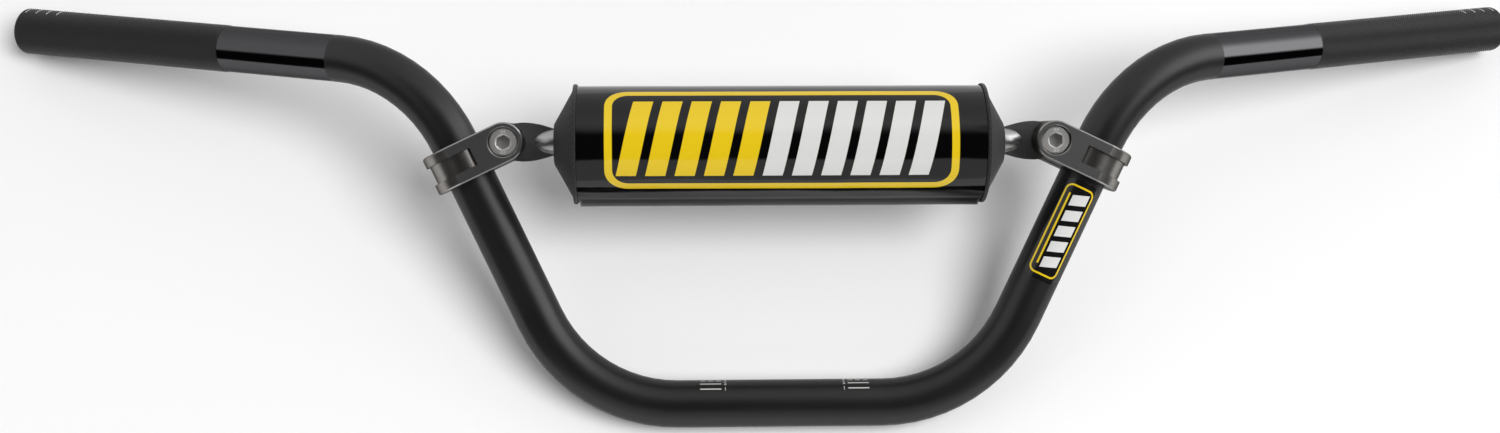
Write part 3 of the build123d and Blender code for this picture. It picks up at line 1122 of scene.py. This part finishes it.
# %% [markdown]
# The photograph is a product shot: the bar lies on white paper, on the backs of its grips and of its centre
# section, under a large soft light. So the paper is a tilted plane just behind those three places. Seen
# from behind it is clear, so that it hides nothing when the camera goes round. A grey floor ends it below,
# and is kept out of the reflections, where the studio's lights are.

# %% Paper and floor
paper_gap = 0.6 * mm
paper_half_width = 1.8
paper_top = 1.0
floor_z = -0.32
floor_front = -0.76
paper_slope = knurl_end.y / knurl_end.z
paper_offset = (knurl_high + paper_gap) * math.hypot(1, paper_slope)


def paper_y(z):
    """How far back the paper is at a height."""
    return paper_offset + paper_slope * z


def make_paper_material(name, tone):
    material, surface, place = new_material(name)
    tree = material.node_tree
    darker = tone - 0.02
    fibres = noise_on(place, 900.0, 2.0)
    white = mix_colour(fibres, (darker, darker, darker, 1.0), (tone, tone, tone, 1.0))
    connect(surface, Base_Color=white, Roughness=0.9, Specular_IOR_Level=0.0)
    behind = put(tree, "ShaderNodeNewGeometry").outputs["Backfacing"]
    rays = put(tree, "ShaderNodeLightPath").outputs
    seen = product(behind, rays["Is Camera Ray"])
    clear = put(tree, "ShaderNodeBsdfTransparent").outputs[0]
    mixed = put_after("ShaderNodeMixShader", {0: seen, 1: surface.outputs[0], 2: clear})
    tree.links.new(mixed.outputs[0], tree.nodes["Material Output"].inputs["Surface"])
    return material


def make_plane(name, near, far, material, shows_in_gloss=True):
    """A rectangle across the whole width, from one edge's (y, z) to the other's."""
    shape = bmesh.new()
    bmesh.ops.create_grid(shape, x_segments=1, y_segments=1, size=0.5)
    for point in shape.verts:
        y, z = near if point.co.y < 0 else far
        point.co = Vector((2 * point.co.x * paper_half_width, y, z))
    plane = make_object(name, shape, material)
    plane.visible_glossy = shows_in_gloss


paper_foot = (paper_y(floor_z), floor_z)
paper_head = (paper_y(paper_top), paper_top)
make_plane("paper", paper_foot, paper_head, make_paper_material("paper_white", 0.97))
floor_material = make_paper_material("floor_grey", 0.62)
make_plane("floor", (floor_front, floor_z), paper_foot, floor_material, shows_in_gloss=False)

# %% [markdown]
# The pad is a mirror for the studio: a black band across its middle is the dark side of the room with the
# camera in it, and the grey bands are the large lights above and below. The world shader therefore holds
# the studio: light by height, a dark slot in front, and a brighter light to the right, which gives the
# polished bands and the leg their long highlights. The light below is weak at the rear. What a mirror sees
# is a little stronger than what lights the matt surfaces, above all below and to the right.

# %% Studio light in the world shader
studio_level = 0.85
dark_level = 0.012
soft_share = 0.78
lower_level = 0.68
soft_lower = 0.5
rear_lower = 0.2
top_share = 0.75
right_low_level = 3.0
right_high_level = 1.0

# Each range runs from where a change in the room begins to where it is complete, in a direction's x, y or z
side_range = (0.35, 0.6)
right_range = (-0.15, 0.85)
right_high_range = (0.45, 0.8)
top_range = (0.5, 1.0)
rear_range = (-0.1, 0.2)

# Each pair is for the front and for the sides of the room
upper_starts = (0.26, -0.14)
upper_is_full = (0.75, 0.02)
lower_starts = (-0.48, -0.63)
lower_is_full = (-0.56, -0.7)


def make_studio():
    world = bpy.data.worlds.new("studio")
    scene.world = world
    world.use_nodes = True
    tree = world.node_tree
    x, y, z = split(put(tree, "ShaderNodeTexCoord").outputs["Generated"])
    side = ramp(calc("ABSOLUTE", x), *side_range)
    upper = ramp(z, mix_value(side, *upper_starts), mix_value(side, *upper_is_full))
    lower = ramp(z, mix_value(side, *lower_starts), mix_value(side, *lower_is_full))
    rays = put(tree, "ShaderNodeLightPath").outputs
    gloss = rays["Is Glossy Ray"]
    to_right = product(ramp(x, *right_range), gloss)
    right_level = mix_value(ramp(z, *right_high_range), right_low_level, right_high_level)
    level = mix_value(to_right, studio_level, right_level)
    level = product(level, mix_value(ramp(z, *top_range), 1.0, top_share))
    light = calc("MULTIPLY_ADD", upper, level, dark_level)
    from_below = mix_value(gloss, lower_level * soft_lower, lower_level)
    lower = product(lower, mix_value(ramp(y, *rear_range), 1.0, rear_lower))
    light = calc("MULTIPLY_ADD", lower, from_below, light)
    strength = mix_value(gloss, product(light, soft_share), light)
    strength = mix_value(rays["Is Camera Ray"], strength, 1.0)
    connect(tree.nodes["Background"], Color=(1, 1, 1, 1), Strength=strength)
    print("studio world with", len(tree.nodes), "nodes")


make_studio()

# %% [markdown]
# One large round softbox draws the shadow, to the left and downwards. It stands far off at the right, a
# little above the bar, and is aimed past it to the left, so that the paper is lit evenly. It is kept out
# of the reflections, because the world's lights already are what the gloss shows.

# %% Key light
key_place = Vector((1.9, -4.43, 0.94))
key_target = Vector((-3.0, 0.03, 0.1))
key_width = 3.2
key_power = 202.0

lamp = bpy.data.lights.new("key", "AREA")
lamp.shape = "DISK"
lamp.size = key_width
lamp.energy = key_power
key = bpy.data.objects.new("key", lamp)
key.location = key_place
key.rotation_euler = (key_target - key_place).to_track_quat("-Z", "Y").to_euler()
key.visible_glossy = False
key.visible_camera = False
scene.collection.objects.link(key)
print("key light at", round(key_place.length, 2), "m from the bar's middle")

# %% [markdown]
# The camera repeats the photograph's view. Its place and turn were fitted to the bar's outline, and the
# lens follows from the focal length in pixels across the frame's 1500.

# %% Camera
frame_width_px = 1500.0
focal_px = 1922.3
camera_pitch = -0.0378
camera_yaw = 0.0401
camera_roll = -0.0039
camera_place = (-0.050, -0.900, 0.122)

camera_data = bpy.data.cameras.new("camera")
camera_data.sensor_width = 36.0
camera_data.lens = focal_px / frame_width_px * camera_data.sensor_width
camera = bpy.data.objects.new("camera", camera_data)
turn = Matrix.Rotation(-camera_yaw, 4, "Z")
turn = turn @ Matrix.Rotation(math.pi / 2 + camera_pitch, 4, "X")
turn = turn @ Matrix.Rotation(camera_roll, 4, "Z")
camera.matrix_world = Matrix.Translation(camera_place) @ turn
scene.collection.objects.link(camera)
scene.camera = camera
scene.view_settings.view_transform = "Standard"
print("lens", round(camera_data.lens, 2))
